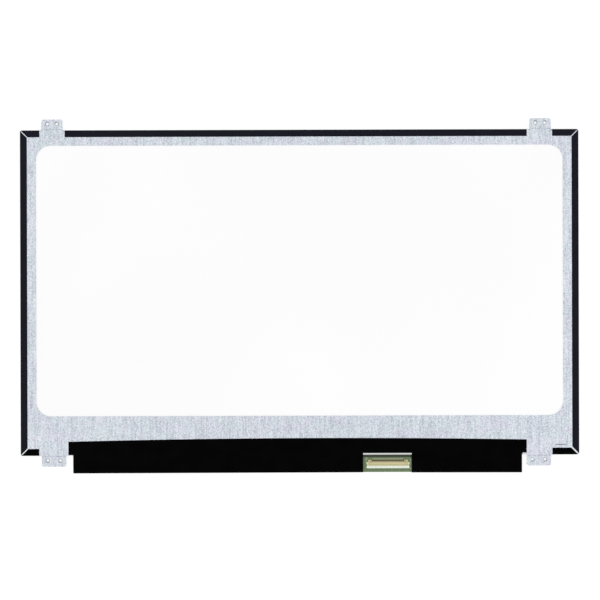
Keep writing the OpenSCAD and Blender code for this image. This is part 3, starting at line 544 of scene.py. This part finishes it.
def add_pads():
    """Tinned pads under the feet of the contacts."""
    middle = (contact_box[0].x + contact_box[1].x) / 2
    back = contact_box[1].y
    pads = []
    for i in range(CONTACTS):
        x = middle + (i - (CONTACTS - 1) / 2) * CONTACT_PITCH
        pads.append((x - PAD_W / 2, back - PAD_FAR, x + PAD_W / 2, back - PAD_NEAR))
    tin = plain("pad_tin", rgb(150, 156, 128), rgb(176, 180, 152), 0.35, 0.5, metallic=0.5)
    vertices, faces = plates(pads, board_box[1].z, FILM)
    add_piece("board_pads", vertices, faces, tin)


INK_W = 0.3 * MM              # width of the printed lines
MARK_LEFT = 0.12 * MM         # from the shell to the printed L at its left
MARK_RIGHT = 0.35 * MM        # from the shell to the printed line at its right
L_LONG = 2.6 * MM
L_SHORT = 1.5 * MM
LINE_FRONT = 1.0 * MM         # from the shell's front to the line
LINE_BACK = 0.5 * MM          # from the line to the contacts' ends
DOT = (-0.2 * MM, -0.6 * MM, 0.6 * MM, 0.1 * MM)    # from the line's side and the shell's front


def add_board_marks():
    """Printed outline round the socket: an L at one end, a line and a dot at the other."""
    left = shell_box[0].x - MARK_LEFT
    right = shell_box[1].x + MARK_RIGHT
    front = shell_box[0].y
    back = contact_box[1].y
    marks = [(left, back - L_LONG, left + INK_W, back),
             (left + INK_W + FILM, back - INK_W, left + L_SHORT, back),
             (right, front + LINE_FRONT, right + INK_W, back - LINE_BACK),
             (right + DOT[0], front + DOT[1], right + DOT[2], front + DOT[3])]
    ink = plain("board_ink", rgb(164, 178, 150), rgb(182, 196, 168), 0.5, 0.6)
    vertices, faces = plates(marks, board_box[1].z, FILM)
    add_piece("board_marks", vertices, faces, ink)


SLIT_SIDE = 11.5 * MM         # from the body's right edge to the middle of the plate's slit
SLIT_RISE = 6.5 * MM          # from the body's lower edge to that middle
SLIT_SHADE_L = 7.2 * MM
SLIT_SHADE_W = 0.38 * MM
SLIT_DEPTH = 0.25 * MM        # from the plate's back to the dark sheet of painted shade in the slit


def add_slit_shade():
    """Dark sheet in the slit near the plate's lower right corner: painted shade of the slit."""
    low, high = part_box("lower_right_tape")
    x = high.x - SLIT_SIDE
    y = low.y + SLIT_RISE
    # a dark sheet that paints the shade in the slit
    dark = plain("slit_shade", rgb(70, 70, 76), rgb(96, 96, 104), 0.6, 0.7)
    tape = [(x - SLIT_SHADE_L / 2, y - SLIT_SHADE_W / 2, x + SLIT_SHADE_L / 2, y + SLIT_SHADE_W / 2)]
    vertices, faces = plates(tape, plate_box[1].z - SLIT_DEPTH, FILM)
    add_piece("slit_shade", vertices, faces, dark)


add_threads()
add_pads()
add_board_marks()
add_slit_shade()


# Floor, light and camera

WHITE_TO = ("Is Camera Ray", "Is Glossy Ray", "Is Transmission Ray")    # these see white
FLOOR_SIZE = 6.0
FLOOR_DROP = 0.05 * MM
FLOOR_GREY = 0.28
FLOOR_GLOW = 0.8              # added for the rays in WHITE_TO, which makes the floor white to them


def make_floor():
    """Pale floor, white to the camera and in reflections, that still takes the object's shadow."""
    mesh = bpy.data.meshes.new("floor")
    half = FLOOR_SIZE / 2
    corners = [(-half, -half, -FLOOR_DROP), (half, -half, -FLOOR_DROP), (half, half, -FLOOR_DROP),
               (-half, half, -FLOOR_DROP)]
    mesh.from_pydata(corners, [], [(0, 1, 2, 3)])
    floor = bpy.data.objects.new("floor", mesh)
    bpy.context.collection.objects.link(floor)
    g = Graph("floor_paper")
    g.set(base_color=(FLOOR_GREY, FLOOR_GREY, FLOOR_GREY), roughness=0.9, specular_ior_level=0.0)
    path = g.node("ShaderNodeLightPath")
    seen = 0.0
    for ray in WHITE_TO:
        seen = g.math("MAXIMUM", seen, path.outputs[ray])
    glow = g.node("ShaderNodeEmission")
    glow.inputs["Color"].default_value = (1.0, 1.0, 1.0, 1.0)
    g.link(g.math("MULTIPLY", seen, FLOOR_GLOW), glow.inputs["Strength"])
    total = g.node("ShaderNodeAddShader")
    g.link(g.shader.outputs[0], total.inputs[0])
    g.link(glow.outputs[0], total.inputs[1])
    g.link(total.outputs[0], g.tree.nodes["Material Output"].inputs["Surface"])
    mesh.materials.append(g.material)


SKY_LOW = (0.2, 0.75)         # height of the view direction, and the sky's strength up to there
SKY_HIGH = (0.8, 0.98)        # the same for the strength from there on


def make_world():
    """White surroundings, whose light on the object is stronger from overhead than from the sides."""
    world = bpy.data.worlds.new("studio")
    world.use_nodes = True
    tree = world.node_tree
    direction = tree.nodes.new("ShaderNodeTexCoord")
    split = tree.nodes.new("ShaderNodeSeparateXYZ")
    tree.links.new(direction.outputs["Generated"], split.inputs["Vector"])
    height = tree.nodes.new("ShaderNodeMapRange")
    for end, (place, level) in (("Min", SKY_LOW), ("Max", SKY_HIGH)):
        height.inputs["From " + end].default_value = place
        height.inputs["To " + end].default_value = level
    tree.links.new(split.outputs["Z"], height.inputs["Value"])
    path = tree.nodes.new("ShaderNodeLightPath")
    strength = height.outputs["Result"]
    for ray in WHITE_TO:
        seen = tree.nodes.new("ShaderNodeMath")
        seen.operation = "MAXIMUM"
        tree.links.new(path.outputs[ray], seen.inputs[0])
        tree.links.new(strength, seen.inputs[1])
        strength = seen.outputs[0]
    background = tree.nodes["Background"]
    background.inputs["Color"].default_value = (1.0, 1.0, 1.0, 1.0)
    tree.links.new(strength, background.inputs["Strength"])
    bpy.context.scene.world = world


LAMP_SIDE = 1.5               # to the right of the object, and for the fill to its left
LAMP_Y = -0.1                 # about level with the object's middle
LAMP_HEIGHT = 1.2
LAMP_SIZE = 1.2
KEY_POWER = 4.4
FILL_POWER = 3.75


def softbox(name, side, power):
    """Square area light at one side of the object, aimed at it."""
    place = (side, LAMP_Y, LAMP_HEIGHT)
    light = bpy.data.lights.new(name, "AREA")
    light.size = LAMP_SIZE
    light.energy = power
    lamp = bpy.data.objects.new(name, light)
    lamp.location = place
    lamp.rotation_euler = (-Vector(place)).to_track_quat("-Z", "Y").to_euler()
    bpy.context.collection.objects.link(lamp)


CAMERA_HEIGHT = 0.9           # above the panel's back
PHOTO_WIDTH_PX = 600
PHOTO_SCALE = 0.64374 * MM    # size of a photo pixel at the panel's back
PHOTO_AIM = (0.27 * MM, -2.6 * MM)
PHOTO_ROLL = math.radians(-0.16)
SENSOR = 36.0


def make_camera():
    """Looks straight down at the panel's back, with the photo's framing."""
    camera = bpy.data.cameras.new("camera")
    camera.sensor_width = SENSOR
    camera.lens = SENSOR * CAMERA_HEIGHT / (PHOTO_WIDTH_PX * PHOTO_SCALE)
    holder = bpy.data.objects.new("camera", camera)
    holder.location = (*PHOTO_AIM, cad_box[1].z + CAMERA_HEIGHT)
    holder.rotation_euler = (0.0, 0.0, PHOTO_ROLL)
    bpy.context.collection.objects.link(holder)
    bpy.context.scene.camera = holder


make_floor()
make_world()
softbox("key", LAMP_SIDE, KEY_POWER)
softbox("fill", -LAMP_SIDE, FILL_POWER)
make_camera()

bpy.context.scene.view_settings.view_transform = "Standard"
